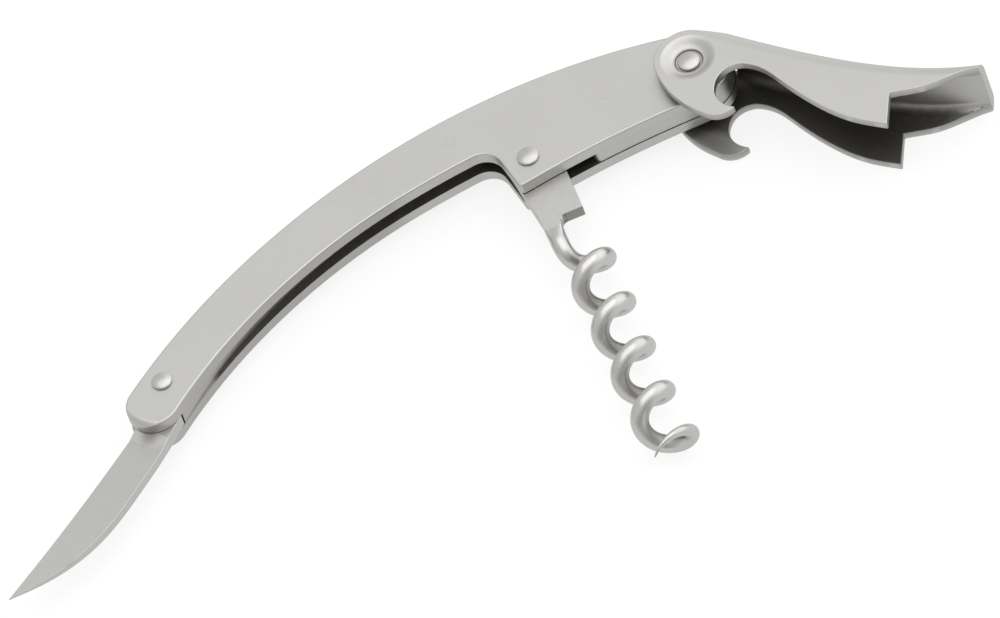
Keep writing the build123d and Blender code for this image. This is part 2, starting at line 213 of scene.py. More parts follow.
make_floor()
print("floor:", 2 * FLOOR_HALF, "m square")

# %% Tent and lamp
TENT_FRONT = 0.28                 # low down, in front of the tool
TENT_SIDES = 0.72                 # low down, beside and behind it
TENT_TOP = 0.704                  # overhead
TENT_RIGHT = 0.64                 # added towards the right, where a second softbox stands
FRONT_TO_SIDES = (-0.95, -0.05)   # where the direction's Y goes from front to sides,
LOW_TO_TOP = (0.0, 0.95)          # its Z from low to overhead,
LEFT_TO_RIGHT = (0.2, 0.9)        # and its X to the right
LAMP_PLACE = np.array([0.15, 0.0, 1.0])
LAMP_SIZE = 1.2
LAMP_POWER = 3.6                  # in watts


def make_tent():
    """A world that is plain white where the camera sees it, and a tent for everything else.

    Low = TENT_FRONT to TENT_SIDES along Y.  Tent = low + height x (TENT_TOP - low) + TENT_RIGHT
    x right, with height and right two S-curves along Z and X.
    """
    world = bpy.data.worlds.new("tent")
    world.use_nodes = True
    tree = world.node_tree
    tree.nodes.clear()
    direction = add_node(tree, "ShaderNodeTexCoord").outputs["Generated"]
    split = add_node(tree, "ShaderNodeSeparateXYZ", Vector=direction)
    low = smooth_step(tree, split.outputs["Y"], *FRONT_TO_SIDES, TENT_FRONT, TENT_SIDES)
    height = smooth_step(tree, split.outputs["Z"], *LOW_TO_TOP)
    right = smooth_step(tree, split.outputs["X"], *LEFT_TO_RIGHT, 0.0, TENT_RIGHT)
    rise = math_node(tree, "SUBTRACT", TENT_TOP, low)
    tent = math_node(tree, "ADD", math_node(tree, "MULTIPLY_ADD", height, rise, low), right)
    path = add_node(tree, "ShaderNodeLightPath")
    pick = add_node(tree, "ShaderNodeMix", Factor=path.outputs["Is Camera Ray"], A=tent, B=1.0)
    sky = add_node(tree, "ShaderNodeBackground", Color=(1, 1, 1, 1), Strength=pick.outputs[0])
    add_node(tree, "ShaderNodeOutputWorld", Surface=sky.outputs[0])
    bpy.context.scene.world = world


def make_lamp():
    """A square soft lamp that faces the origin.

    Its Z points back from the origin to the lamp, and X and Y are square to that.
    """
    data = bpy.data.lights.new("softbox", "AREA")
    data.size, data.energy = LAMP_SIZE, LAMP_POWER
    lamp = bpy.data.objects.new("softbox", data)
    back = LAMP_PLACE / np.linalg.norm(LAMP_PLACE)
    side = np.cross([0.0, 1.0, 0.0], back)
    side /= np.linalg.norm(side)
    lamp.matrix_world = placed([side, np.cross(back, side), back], LAMP_PLACE)
    bpy.context.scene.collection.objects.link(lamp)


make_tent()
make_lamp()
bpy.context.scene.view_settings.view_transform = "Standard"
print("tent:", TENT_FRONT, "in front,", TENT_SIDES, "beside,", TENT_TOP, "overhead; lamp:",
      LAMP_POWER, "W")


# %% [markdown]
# Stainless steel
#
# Tumbled stainless isn't a mirror: thousands of fine scratches spread each reflection.
# Roughness stands for what is too fine to see, and a shallow bump for what can just be seen.
# A belt leaves its scratches lengthwise, the tumbling drum leaves a soft mottle over them.  The
# same effect in different amounts suits the plates, the blade and the wire, so it is a node
# group, and each material sets its own numbers.

# %% The grain that every steel part shares
SCRATCHES = 9000.0                # per metre, across the belt's run
BELT_STRETCH = 0.06               # how much fewer along it
MOTTLE = 900.0                    # per metre
BROADER = 0.08                    # clouds for each fleck of mottle


def new_group(name, inputs, outputs):
    """An empty shader node group with named inputs and outputs, and its two end nodes."""
    group = bpy.data.node_groups.new(name, "ShaderNodeTree")
    for label, kind, default in inputs:
        socket = group.interface.new_socket(name=label, in_out="INPUT", socket_type=kind)
        if default is not None:
            socket.default_value = default
    for label in outputs:
        group.interface.new_socket(name=label, in_out="OUTPUT", socket_type="NodeSocketFloat")
    return group, group.nodes.new("NodeGroupInput"), group.nodes.new("NodeGroupOutput")


def make_grain_group():
    """Scratches, fine mottle and broad clouds from three noises on Object coordinates.

    Scratches are a noise drawn out along X: its place is (x times stretch, y, z).
    """
    group, start, end = new_group(
        "steel_grain",
        [("Vector", "NodeSocketVector", None),
         ("Scratches per metre", "NodeSocketFloat", SCRATCHES),
         ("Stretch", "NodeSocketFloat", BELT_STRETCH),
         ("Mottle per metre", "NodeSocketFloat", MOTTLE)],
        ["Scratches", "Mottle", "Clouds"])
    place = start.outputs["Vector"]
    stretch = add_node(group, "ShaderNodeCombineXYZ", X=start.outputs["Stretch"], Y=1.0, Z=1.0)
    drawn_out = vector_node(group, "MULTIPLY", place, stretch.outputs[0]).outputs[0]
    scratches = add_node(group, "ShaderNodeTexNoise", Vector=drawn_out,
                         Scale=start.outputs["Scratches per metre"], Detail=2.0, Roughness=0.6)
    mottle = add_node(group, "ShaderNodeTexNoise", Vector=place,
                      Scale=start.outputs["Mottle per metre"], Detail=3.0, Roughness=0.6)
    broad = math_node(group, "MULTIPLY", start.outputs["Mottle per metre"], BROADER)
    clouds = add_node(group, "ShaderNodeTexNoise", Vector=place, Scale=broad, Detail=1.0,
                      Roughness=0.5)
    for label, noise in (("Scratches", scratches), ("Mottle", mottle), ("Clouds", clouds)):
        plug(group, end.inputs[label], noise.outputs[0])
    return group


steel_grain = make_grain_group()
print("grain:", ", ".join(socket.name for socket in steel_grain.interface.items_tree))


# %% [markdown]
# Painted shade
#
# Inside the fold of the lever, inside the coil, under the worm's shoulder and at the foot of the
# rivet heads, the steel is painted darker as painted shade.  Each such piece carries a mesh
# attribute from 0 to 1 for it, and its material mixes the clean finish with a dark colour by it.
# The plates and the blade get painted shade in a few regions only, so their masks are worked out
# in the material from Object coordinates.

# %% Masks for the pieces
MIDDLE = joints["lever_close"]["pos_m"][2]
SLOT_HALF = 1.30                  # from the middle to the inside of a plate, in mm
PLATE_FACE = 3.52                 # and to its outside
SLOT_OPEN = (7.0, 10.0)           # round the blade's pivot, no painted shade within and full painted shade beyond
BAY_LEFT = (-62.0, -45.0)         # the ends of the bay, along X
BAY_RIGHT = (-4.0, 4.0)
BAY_SHADE_DEPTH = 0.22                   # how dark the painted shade gets, where 1 is the full painted shade colour
# A painted shadow of the plate's end on the blade's root: its centre, its reach and its depth.
BLADE_SHADOW_SPOT = (-57.4 * MM, 17.9 * MM, 0.0)
SHADOW_REACH = (0.2, 2.4)         # full within the one radius, gone beyond the other
SHADOW_DEPTH = 0.5


def attribute_mask(tree):
    """The mesh's attribute of painted shade."""
    return add_node(tree, "ShaderNodeAttribute", {"attribute_name": "painted_shade"}).outputs["Fac"]


def object_place(tree):
    """Where a point lies on the tool: its Object coordinates."""
    return add_node(tree, "ShaderNodeTexCoord").outputs["Object"]


def round_step(tree, place, centre, radii, inside, outside):
    """An S-curve from inside to outside as the distance from a centre passes two radii in mm."""
    reach = vector_node(tree, "DISTANCE", place, centre).outputs["Value"]
    return smooth_step(tree, reach, radii[0] * MM, radii[1] * MM, inside, outside)


def bay_shade(tree, along):
    """Painted shade on the stamped edges along the bay.

    One S-curve along X rises to 1 at the bay's left end, times one that falls from the bay's
    shade depth to 0 at its right end.
    """
    start = smooth_step(tree, along, BAY_LEFT[0] * MM, BAY_LEFT[1] * MM)
    end = smooth_step(tree, along, BAY_RIGHT[0] * MM, BAY_RIGHT[1] * MM, BAY_SHADE_DEPTH, 0.0)
    return math_node(tree, "MULTIPLY", start, end)


def slot_mask(tree):
    """Painted shade: 1 on the faces that look into the slot between the plates, nearest the middle.

    It fades out round the blade's pivot, where the slot is open.  The stamped edges, which end
    just below the plates' outer faces, get the bay's painted shade.
    """
    place = object_place(tree)
    split = add_node(tree, "ShaderNodeSeparateXYZ", Vector=place)
    height = math_node(tree, "SUBTRACT", split.outputs["Z"], MIDDLE)
    aside = math_node(tree, "ABSOLUTE", height)
    inner = math_node(tree, "LESS_THAN", aside, (SLOT_HALF + 0.02) * MM)
    away = round_step(tree, place, joints["blade_fold"]["pos_m"], SLOT_OPEN, 0.0, 1.0)
    slot = math_node(tree, "MULTIPLY", inner, away)
    edge = math_node(tree, "LESS_THAN", aside, (PLATE_FACE - 0.08) * MM)
    bay = math_node(tree, "MULTIPLY", edge, bay_shade(tree, split.outputs["X"]))
    return math_node(tree, "MAXIMUM", slot, bay)


def blade_shadow_mask(tree):
    """A soft painted shadow of the plate's end on the blade's root, round a point of its outline."""
    flat = vector_node(tree, "MULTIPLY", object_place(tree), (1, 1, 0)).outputs[0]
    return round_step(tree, flat, BLADE_SHADOW_SPOT, SHADOW_REACH, SHADOW_DEPTH, 0.0)


print("middle of the tool at", round(MIDDLE / MM, 3), "mm")

# %% Make one finish
STEEL = (0.600, 0.594, 0.570)     # stainless is a little warm beside white paper
SATIN = 0.42                      # roughness of a tumbled face
ROUGH_SWING = 0.03                # how far the mottle moves the roughness
MOTTLE_SPAN = (0.3, 0.7)          # most of the mottle noise lies between these
SCRATCH_DEPTH = 0.02 * MM


def mix_in_dark(tree, mask, mottle, skin, rough, dark, dark_roughness):
    """Colour and roughness that go over to the painted shade colour with the mask.

    The mottle makes it patchy: share = mask x (0.85 + 0.3 x mottle), at most 1.
    """
    patchy = math_node(tree, "MULTIPLY_ADD", mottle, 0.3, 0.85)
    share = math_node(tree, "MULTIPLY", mask, patchy, clamp=True)
    mixed = add_node(tree, "ShaderNodeMix", {"data_type": "RGBA"}, Factor=share)
    plug(tree, mixed.inputs[6], skin)           # 6 and 7 are the colours A and B
    plug(tree, mixed.inputs[7], (*dark, 1))
    gap = math_node(tree, "SUBTRACT", dark_roughness, rough)
    return mixed.outputs[2], math_node(tree, "MULTIPLY_ADD", share, gap, rough)


def make_steel(name, colour=STEEL, roughness=SATIN, spread=0.03, clouds=0.03, bump=0.2,
               stretch=BELT_STRETCH, turn=0.0, mask=None, dark=None, dark_roughness=0.55):
    """Steel of one finish: its mean colour and roughness, and how far the grain moves them.

    Colour = mean x (1 + spread x (scratches + mottle - 1) + clouds x (2 x cloud noise - 1)).
    The turn lays the scratches along the piece.
    """
    material, tree = new_material(name)
    turned_place = add_node(tree, "ShaderNodeMapping", Vector=object_place(tree),
                            Rotation=(0, 0, turn))
    grain = add_node(tree, "ShaderNodeGroup", {"node_tree": steel_grain},
                     Vector=turned_place.outputs[0], Stretch=stretch)
    mottle = grain.outputs["Mottle"]
    fine = math_node(tree, "ADD", grain.outputs["Scratches"], mottle)
    fine = math_node(tree, "MULTIPLY_ADD", fine, spread, 1.0 - spread)
    broad = math_node(tree, "MULTIPLY_ADD", grain.outputs["Clouds"], 2 * clouds, -clouds)
    tone = math_node(tree, "ADD", fine, broad)
    tint = add_node(tree, "ShaderNodeVectorMath", {"operation": "SCALE"}, Vector=colour,
                    Scale=tone)
    skin = tint.outputs[0]
    swing = add_node(tree, "ShaderNodeMapRange", Value=mottle, From_Min=MOTTLE_SPAN[0],
                     From_Max=MOTTLE_SPAN[1], To_Min=roughness - ROUGH_SWING,
                     To_Max=roughness + ROUGH_SWING)
    rough = swing.outputs[0]
    if mask is not None:
        skin, rough = mix_in_dark(tree, mask(tree), mottle, skin, rough, dark, dark_roughness)
    relief = add_node(tree, "ShaderNodeBump", Height=grain.outputs["Scratches"], Strength=bump,
                      Distance=SCRATCH_DEPTH)
    shader = add_node(tree, "ShaderNodeBsdfPrincipled", Base_Color=skin, Metallic=1.0,
                      Roughness=rough, Normal=relief.outputs[0])
    add_node(tree, "ShaderNodeOutputMaterial", Surface=shader.outputs[0])
    return material


# %% One finish for each kind of part
SCALE = (0.150, 0.144, 0.132)     # painted shade in the plates' slot, on the blade's root and in the lever
COIL_SHADE = (0.26, 0.25, 0.23)    # painted shade inside the coil and under the shoulder
RIVET_FOOT_SHADE = (0.10, 0.096, 0.088)  # painted shade at the foot of a rivet head's rim
LEVER_LEAN = radians(-47.0)       # the open lever's own axis, turned from X
BLADE_LEAN = radians(211.0)       # the blade's
WORM_LEAN = radians(-100.7)       # and the worm's

looks = {
    "plate_steel": {},
    "plate_steel_slot": dict(mask=slot_mask, dark=SCALE),
    "spring_steel": dict(colour=(0.50, 0.495, 0.475), spread=0.08),
    "blade_steel": dict(colour=(0.61, 0.604, 0.585), roughness=0.40, turn=pi / 2 - BLADE_LEAN,
                        mask=blade_shadow_mask, dark=SCALE),
    "worm_steel": dict(colour=(0.63, 0.624, 0.602), roughness=0.32, spread=0.10, clouds=0.08,
                       bump=0.02, turn=-WORM_LEAN, mask=attribute_mask, dark=COIL_SHADE,
                       dark_roughness=0.40),
    "lever_steel": dict(turn=-LEVER_LEAN, mask=attribute_mask, dark=SCALE),
    "rivet_steel": dict(roughness=0.34, stretch=1.0, mask=attribute_mask, dark=RIVET_FOOT_SHADE),
}
steels = {name: make_steel(name, **look) for name, look in looks.items()}
for name, node in nodes.items():
    # The flush pins are ground level with the plates and share their finish.
    finish = "plate_steel" if "pin" in name else slot_of[name]
    node.data.materials.clear()
    node.data.materials.append(steels[finish + "_slot" if name.endswith("_plate") else finish])
print("finishes:", ", ".join(sorted(steels)))


# %% [markdown]
# Soft edges
#
# A stamped or folded sheet never keeps a perfectly sharp edge: the tumbling drum rubs a tenth of
# a millimetre or two off it, and that narrow strip catches the light along every outline.  The
# CAD plates already have it.  The other pieces are copied here, merged into one skin, and given
# a Bevel modifier, because a modifier leaves the CAD mesh itself alone.  Weighted normals after
# it keep the large flat faces flat to the light.

# %% A softened copy of a CAD piece
SAME_POINT = 0.0002 * MM          # CAD triangles meet within this
ONE_PLANE = radians(0.1)          # faces that turn less than this are one
CORNER = 35.0                     # an edge sharper than this, in degrees, is rubbed round
FLAT_WEIGHT = 60                  # over 50, large faces draw the normals more than small ones
BEVEL_STEPS = 3


def merged(name):
    """A CAD node's triangles as one skin in a bmesh."""
    skin = bmesh.new()
    skin.from_mesh(nodes[name].data)
    bmesh.ops.remove_doubles(skin, verts=skin.verts, dist=SAME_POINT)
    return skin


def join_flat(skin):
    """Joins the faces of a bmesh that lie in one plane."""
    bmesh.ops.dissolve_limit(skin, angle_limit=ONE_PLANE, verts=skin.verts, edges=skin.edges)


def dress(name, mesh, width=None):
    """Puts a mesh in the place of a CAD node: its body, its slot, its finish and its edges."""
    piece = bpy.data.objects.new(f"{name}_skin", mesh)
    bpy.context.scene.collection.objects.link(piece)
    if width:
        bevel = piece.modifiers.new("rubbed_edges", "BEVEL")
        bevel.width, bevel.segments, bevel.limit_method = width, BEVEL_STEPS, "WEIGHT"
        bevel.use_clamp_overlap = False
        bevel.miter_outer = "MITER_ARC"
    shade = piece.modifiers.new("flat_faces", "WEIGHTED_NORMAL")
    shade.keep_sharp, shade.weight = True, FLAT_WEIGHT
    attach(piece, body_of[name])
    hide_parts(name)
    mesh.materials.clear()
    mesh.materials.append(steels[slot_of[name]])
    print(f"{name}: {len(mesh.polygons)} faces")
    return piece


def soft_copy(name, width, spare=None, smooth=None, skin=None):
    """A merged copy of a CAD node, with each edge sharper than CORNER bevelled to a width.

    Triangles that lie in one plane are joined first, so that the bevel meets clean edges.
    Edges whose middle passes the spare test stay sharp, and those in the smooth test's region
    are shaded as one surface.
    """
    skin = skin or merged(name)
    join_flat(skin)
    weight = skin.edges.layers.float.new("bevel_weight_edge")
    for edge in skin.edges:
        middle = (edge.verts[0].co + edge.verts[1].co) / 2
        sharp = len(edge.link_faces) == 2 and edge.calc_face_angle() > radians(CORNER)
        sharp = sharp and not (smooth and smooth(middle))
        edge.smooth = not sharp
        edge[weight] = float(sharp and not (spare and spare(middle)))
    mesh = bpy.data.meshes.new(f"{name}_skin")
    skin.to_mesh(mesh)
    skin.free()
    if "custom_normal" in mesh.attributes:
        mesh.attributes.remove(mesh.attributes["custom_normal"])
    return dress(name, mesh, width)


# %% [markdown]
# Spring, spacer and blade
#
# The spring and the spacer are stamped from strip and lie between the plates, so that little
# more than their edges shows.  The blade is ground from thinner stock, and less is rubbed off
# it.  They could be modelled anew, but the CAD shapes are right and fit each other, so a copy
# with soft edges is all that they need.

# %% Spring, spacer and blade
RUBBED = 0.12 * MM
BLADE_RUBBED = 0.08 * MM

soft_copy("back_spring", RUBBED)
soft_copy("lever_spacer", RUBBED)
soft_copy("blade", BLADE_RUBBED)


# %% [markdown]
# The lever
#
# The lever is one strip folded to a channel.  Each ear is dished round the rivet until it
# bears on the plate: a coined ring round the rivet head, then a long soft slope up to the ear.
# The CAD lever has a shorter, steeper slope, so a round hole is cut in each ear of the copy
# and the soft dish is turned to fill it, rim to rim.  The dish is one profile of radius and
# height, turned about the pivot.

# %% Turn a profile about a pivot
ROUND_STEPS = 96


def turned(profile, centre):
    """Rings of a surface of revolution from rows of (radius, height), and the walls between.

    Ring i, step j is centre + (r cos a, r sin a, z) with a = 2 pi j / ROUND_STEPS.  The profile
    runs upwards on the outside, so that the walls face outwards.
    """
    radius, height = profile[:, 0][:, None], profile[:, 1][:, None]
    angle = np.linspace(0, 2 * pi, ROUND_STEPS, endpoint=False)[None, :]
    rings = np.stack([radius * np.cos(angle), radius * np.sin(angle), height + 0 * angle], axis=-1)
    index = np.arange(len(profile) * ROUND_STEPS).reshape(-1, ROUND_STEPS)
    beside = np.roll(index, -1, axis=1)
    walls = np.stack([index[:-1], beside[:-1], beside[1:], index[1:]], axis=-1).reshape(-1, 4)
    return rings.reshape(-1, 3) + centre, walls.tolist()


def bent(start, corner, end, steps=6):
    """Points of a curve that leaves start towards the corner and arrives at end from it.

    (1-t)^2 start + 2 t (1-t) corner + t^2 end.
    """
    t = np.linspace(0, 1, steps)[:, None]
    return ((1 - t) ** 2 * np.array(start) + 2 * t * (1 - t) * np.array(corner)
            + t ** 2 * np.array(end))


def s_curve(start, end, steps):
    """Points from one (radius, height) to another, level at both ends: 3t^2 - 2t^3."""
    t = np.linspace(0, 1, steps)
    span = np.array(end) - np.array(start)
    return np.column_stack([start[0] + span[0] * t, start[1] + span[1] * t * t * (3 - 2 * t)])


# %% The dish's profile, in mm
CHANNEL_HALF = 4.895              # from the middle to the inside of a flank
LEVER_HALF = 6.395                # and to the outside
DISH = 4.8                        # outer radius of the soft slope
DISH_INSIDE = (3.9, 2.3)          # the slope's outer and inner radius on the inside
RING = 2.35                       # radius of the coined ring round the rivet head
RING_RISE = 0.35                  # height of the ring's wall
BORE = 1.5
FLOOR_OUT, FLOOR_IN = 5.07, 3.57  # the dish's floor, from the middle, outside and inside


def dish_profile():
    """One ear's dish from its outer edge on the inside, through the bore, back on the outside.

    Two S-curves make the slopes.  The ring's wall leans out by a tenth of a millimetre, and its
    foot and its brim are rounded over one or two tenths.
    """
    inside = s_curve((DISH_INSIDE[0], CHANNEL_HALF), (DISH_INSIDE[1], FLOOR_IN), 24)
    brim_level = FLOOR_OUT + RING_RISE
    edge = (RING + 0.25, brim_level + 0.03)
    foot = bent((RING - 0.2, FLOOR_OUT), (RING, FLOOR_OUT), (RING + 0.02, FLOOR_OUT + 0.15), 5)
    brim = bent((RING + 0.05, brim_level - 0.12), (RING + 0.1, brim_level), edge, 5)
    slope = s_curve(edge, (DISH, LEVER_HALF), 32)[1:]
    return np.vstack([[(DISH, CHANNEL_HALF)], inside, [(BORE, FLOOR_IN), (BORE, FLOOR_OUT)],
                      foot, brim, slope])


print("dish profile:", len(dish_profile()), "points")

# %% Cut the ears and put the dishes in
LEVER_PIVOT = np.array(joints["lever_close"]["pos_m"])
CUTTER_HALF = 8.0                 # the cutter reaches past both ears, in mm
ON_CUT = 0.003 * MM               # a point this near the cutter's wall lies on it
SAME_RIM = 0.004 * MM             # points of ear and dish that are one
SEAM_GAP = 0.16 * MM              # and those of an open seam, where their steps differ


def holed_lever():
    """The CAD lever's skin with a round hole through both ears, without the holes' walls."""
    shaft, walls = turned(np.array([(DISH, -CUTTER_HALF), (DISH, CUTTER_HALF)]) * MM, LEVER_PIVOT)
    ends = [list(range(ROUND_STEPS - 1, -1, -1)), list(range(ROUND_STEPS, 2 * ROUND_STEPS))]
    cutter = bpy.data.meshes.new("cutter")
    cutter.from_pydata(shaft.tolist(), [], walls + ends)
    source = bpy.data.meshes.new("source")
    skin = merged("lever")
    skin.to_mesh(source)
    skin.free()
    tools = [bpy.data.objects.new(mesh.name, mesh) for mesh in (source, cutter)]
    for tool in tools:
        bpy.context.scene.collection.objects.link(tool)
    cut = tools[0].modifiers.new("cut", "BOOLEAN")
    cut.operation, cut.object, cut.solver = "DIFFERENCE", tools[1], "EXACT"
    bpy.context.view_layer.update()
    holed = bpy.data.meshes.new_from_object(
        tools[0].evaluated_get(bpy.context.evaluated_depsgraph_get()))
    for tool in tools:
        bpy.data.objects.remove(tool)
    skin = bmesh.new()
    skin.from_mesh(holed)
    join_flat(skin)
    wall = [face for face in skin.faces if all(
        abs(np.hypot(*(np.array(v.co) - LEVER_PIVOT)[:2]) - DISH * MM) < ON_CUT
        for v in face.verts)]
    bmesh.ops.delete(skin, geom=wall, context="FACES")
    print("ears holed;", len(wall), "wall faces out")
    return skin


def dished_lever():
    """The holed skin with a dish in each ear; the lower one is the upper one turned over."""
    skin = holed_lever()
    upper = dish_profile()
    for profile in (upper[::-1], upper * [1, -1]):
        points, faces = turned(profile * MM, LEVER_PIVOT)
        corners = [skin.verts.new(point) for point in points]
        for face in faces:
            skin.faces.new([corners[i] for i in face])
    bmesh.ops.remove_doubles(skin, verts=skin.verts, dist=SAME_RIM)
    seam = [v for v in skin.verts if any(len(edge.link_faces) == 1 for edge in v.link_edges)]
    bmesh.ops.remove_doubles(skin, verts=seam, dist=SEAM_GAP)
    print("lever dished;", sum(len(edge.link_faces) != 2 for edge in skin.edges), "open edges")
    return skin


lever_shape = dished_lever()


# %% [markdown]
# Painted shade on the lever
#
# The inside of the channel is painted dark as shade, and the foot and the cap hook, which lie
# open, are left bright.  Painted shade also goes in the ring round the rivet, along the inner
# rim of the stamped edges and on the end of the folded back.  It could be painted by hand, but
# whether a face looks into the channel is easy to work out, and it stays right when the shape
# changes.

# %% Axes and arrays of a piece
def read(items, field, width=1, kind=float):
    """One field of every item of a mesh, as an array with a row for each."""
    values = np.empty(len(items) * width, kind)
    items.foreach_get(field, values)
    return values.reshape(-1, width) if width > 1 else values


def corner_arrays(mesh):
    """Place, face middle and smooth normal of every face corner, as arrays of rows."""
    owner = np.repeat(np.arange(len(mesh.polygons)), read(mesh.polygons, "loop_total", kind=int))
    places = read(mesh.vertices, "co", 3)[read(mesh.loops, "vertex_index", kind=int)]
    return places, read(mesh.polygons, "center", 3)[owner], read(mesh.corner_normals, "vector", 3)


def along_and_across(vectors, lean):
    """Parts along a piece's own axis and across it: x cos a + y sin a, and y cos a - x sin a."""
    x, y = vectors[..., 0], vectors[..., 1]
    return x * cos(lean) + y * sin(lean), y * cos(lean) - x * sin(lean)


def ramp(value, start, end):
    """0 before start, 1 after end, an S-curve between."""
    t = np.clip((value - start) / (end - start), 0.0, 1.0)
    return t * t * (3 - 2 * t)


def set_painted_shade(mesh, values, domain):
    """Writes the attribute of painted shade."""
    attribute = mesh.attributes.new("painted_shade", "FLOAT", domain)
    attribute.data.foreach_set("value", values.astype(np.float32))
    print(f"unpolished: {values.mean():.2f} on average")


# %% Where the lever gets painted shade, in mm
SPINE_START = 4.3                 # where the folded back begins, along the lever
SPINE_ABOVE = 4.0                 # its beginning lies further above the rivet than this
HOOK_BELOW = (5.5, 8.5)           # the cap hook: how far below the axis it hangs
HOOK_END = (11.5, 13.0)           # and where it ends, along the lever
FOOT_FLANK = (43.0, 49.5)         # where the foot's flanks open out
FOOT_BACK = (31.0, 36.5)          # and its back
RING_SHADE_WIDTH = 0.40                 # the painted shade's reach from the ring
OPEN_UNSHADED = {"hook": 0.8, "flank": 0.9, "back": 0.85}      # how much painted shade the open places inside lose
OUTSIDE_SHADE = {"rim": 0.45, "ring": 0.45, "back end": 0.9}    # and how much painted shade these places outside get
FACES_IN = 0.05                   # a normal's part across the lever, past which a face looks in
ON_FLANK = (0.2, 0.9)             # the same, from the fold's rounded corner to the flat flank


def in_lever(places):
    """Lever's own axes: along it from its rivet, and up towards the back of the fold."""
    return along_and_across((places - LEVER_PIVOT) / MM, LEVER_LEAN)


def lever_painted_shade(mesh):
    """Painted shade: 1 inside the fold, fading out where the foot and the cap hook lie open.

    A face is inside when it turns towards the channel's middle, or down from the back.  Outside,
    the rim of the stamped edges, the ring round the rivet and the end of the back get some painted shade.
    """
    places, middle, normal = corner_arrays(mesh)
    along, rise = in_lever(places)
    aside = (middle[:, 2] - MIDDLE) / MM
    inward = -np.sign(aside) * normal[:, 2]
    forward, upward = along_and_across(normal, LEVER_LEAN)
    inside = (inward > FACES_IN) | ((upward < -0.3) & (np.abs(aside) < CHANNEL_HALF - 0.1))
    hook = OPEN_UNSHADED["hook"] * ramp(-rise, *HOOK_BELOW) * (1 - ramp(along, *HOOK_END))
    flank = OPEN_UNSHADED["flank"] * ramp(along, *FOOT_FLANK)
    back = OPEN_UNSHADED["back"] * ramp(along, *FOOT_BACK)
    on_flank = ramp(inward, *ON_FLANK)
    open_air = on_flank * np.maximum(hook, flank) + (1 - on_flank) * back
    rim = OUTSIDE_SHADE["rim"] * (np.abs(places[:, 2] - MIDDLE) / MM < CHANNEL_HALF + 0.01)
    rim *= (np.abs(normal[:, 2]) < 0.3) & (np.abs(aside) > CHANNEL_HALF)
    ring = OUTSIDE_SHADE["ring"] * (1 - ramp(np.abs(np.hypot(along, rise) - RING), 0.0, RING_SHADE_WIDTH))
    ring *= inward < -FACES_IN
    back_end = (along < SPINE_START + 0.3) & (rise > SPINE_ABOVE) & (forward < -0.7)
    outside = np.maximum(np.maximum(rim, OUTSIDE_SHADE["back end"] * back_end), ring)
    return np.where(inside, 1 - open_air, outside)


def lever_spared(place):
    """The front edge of the folded back, and the ears round the dish, keep their edges."""
    along, rise = in_lever(np.array(place))
    front_edge = abs(along - SPINE_START) < 0.7 and rise > SPINE_ABOVE
    return front_edge or np.hypot(along, rise) < DISH + 0.05


# %% Dress the lever
LEVER_RUBBED = 0.16 * MM

lever = soft_copy("lever", LEVER_RUBBED, spare=lever_spared, skin=lever_shape)
# The channel's inside, the rims, the ring and the back's end get painted shade.
set_painted_shade(lever.data, lever_painted_shade(lever.data), "CORNER")


# %% [markdown]
# The worm
#
# The worm is one wire: its head is forged flat, the rest is wound on a mandrel and drawn out to a
# point.  The CAD mesh of the coil is faceted.  More triangles could hide that, but it is lighter
# to give each of its points the normal of the round wire, which points away from the nearest
# point of the coil's centre line.

# %% The coil's centre line, in mm
COIL_OFFSET = 2.3                 # coil axis beside the worm rivet
COIL_RADIUS = 3.18
COIL_PITCH = 10.45
COIL_LEVEL = 23.7                 # below the rivet, where the turns are counted from
COIL_TURNS = (-0.3, 4.39)         # first and last turn
COIL_STEPS = 3000
FLARE = 0.95                      # the last turn opens out by this much
FLARE_TURNS = (3.5, 4.0)


def in_worm(places):
    """Worm's own axes, in mm from its rivet: beside its axis, along it, and up."""
    offset = (places - np.array(joints["worm_fold"]["pos_m"])) / MM
    along, beside = along_and_across(offset, WORM_LEAN)
    return np.stack([beside, along, offset[..., 2]], axis=-1)


def coil_line():
    """The coil's centre line in those axes: a helix whose last turn opens out by an S-curve."""
    turn = np.linspace(*COIL_TURNS, COIL_STEPS)
    radius = COIL_RADIUS + FLARE * ramp(turn, *FLARE_TURNS)
    return np.column_stack([COIL_OFFSET + radius * np.cos(2 * pi * turn),
                            COIL_LEVEL + COIL_PITCH * turn, radius * np.sin(2 * pi * turn)])


def wire_normals(places):
    """Normals of the round wire at points of the coil; zero elsewhere."""
    line = coil_line()
    tree = KDTree(len(line))
    for index, point in enumerate(line):
        tree.insert(point, index)
    tree.balance()
    local = in_worm(places)
    nearest = np.array([tree.find(point)[1] for point in local])
    away = local - line[nearest]
    away[(nearest == 0) | (nearest == len(line) - 1)] = 0.0
    away /= np.maximum(np.linalg.norm(away, axis=1), 1e-9)[:, None]
    beside, along, above = away.T
    return np.column_stack([along * cos(WORM_LEAN) - beside * sin(WORM_LEAN),
                            along * sin(WORM_LEAN) + beside * cos(WORM_LEAN), above])


print("coil:", round(COIL_TURNS[1] - COIL_TURNS[0], 2), "turns")

# %% Dress the worm
SHOULDER = 12.3                   # end of the flat tang, below the rivet
ROUND_WIRE = 16.0                 # end of the change from flat to round
COIL_START = 19.0                 # where the wire begins to wind
COIL_DARK = 22.0                  # where its inner side is fully dark
BORE_TO_WIRE = (0.55, 0.95)       # inner side of the wire, in coil radii
UNDER_SHOULDER = 0.8


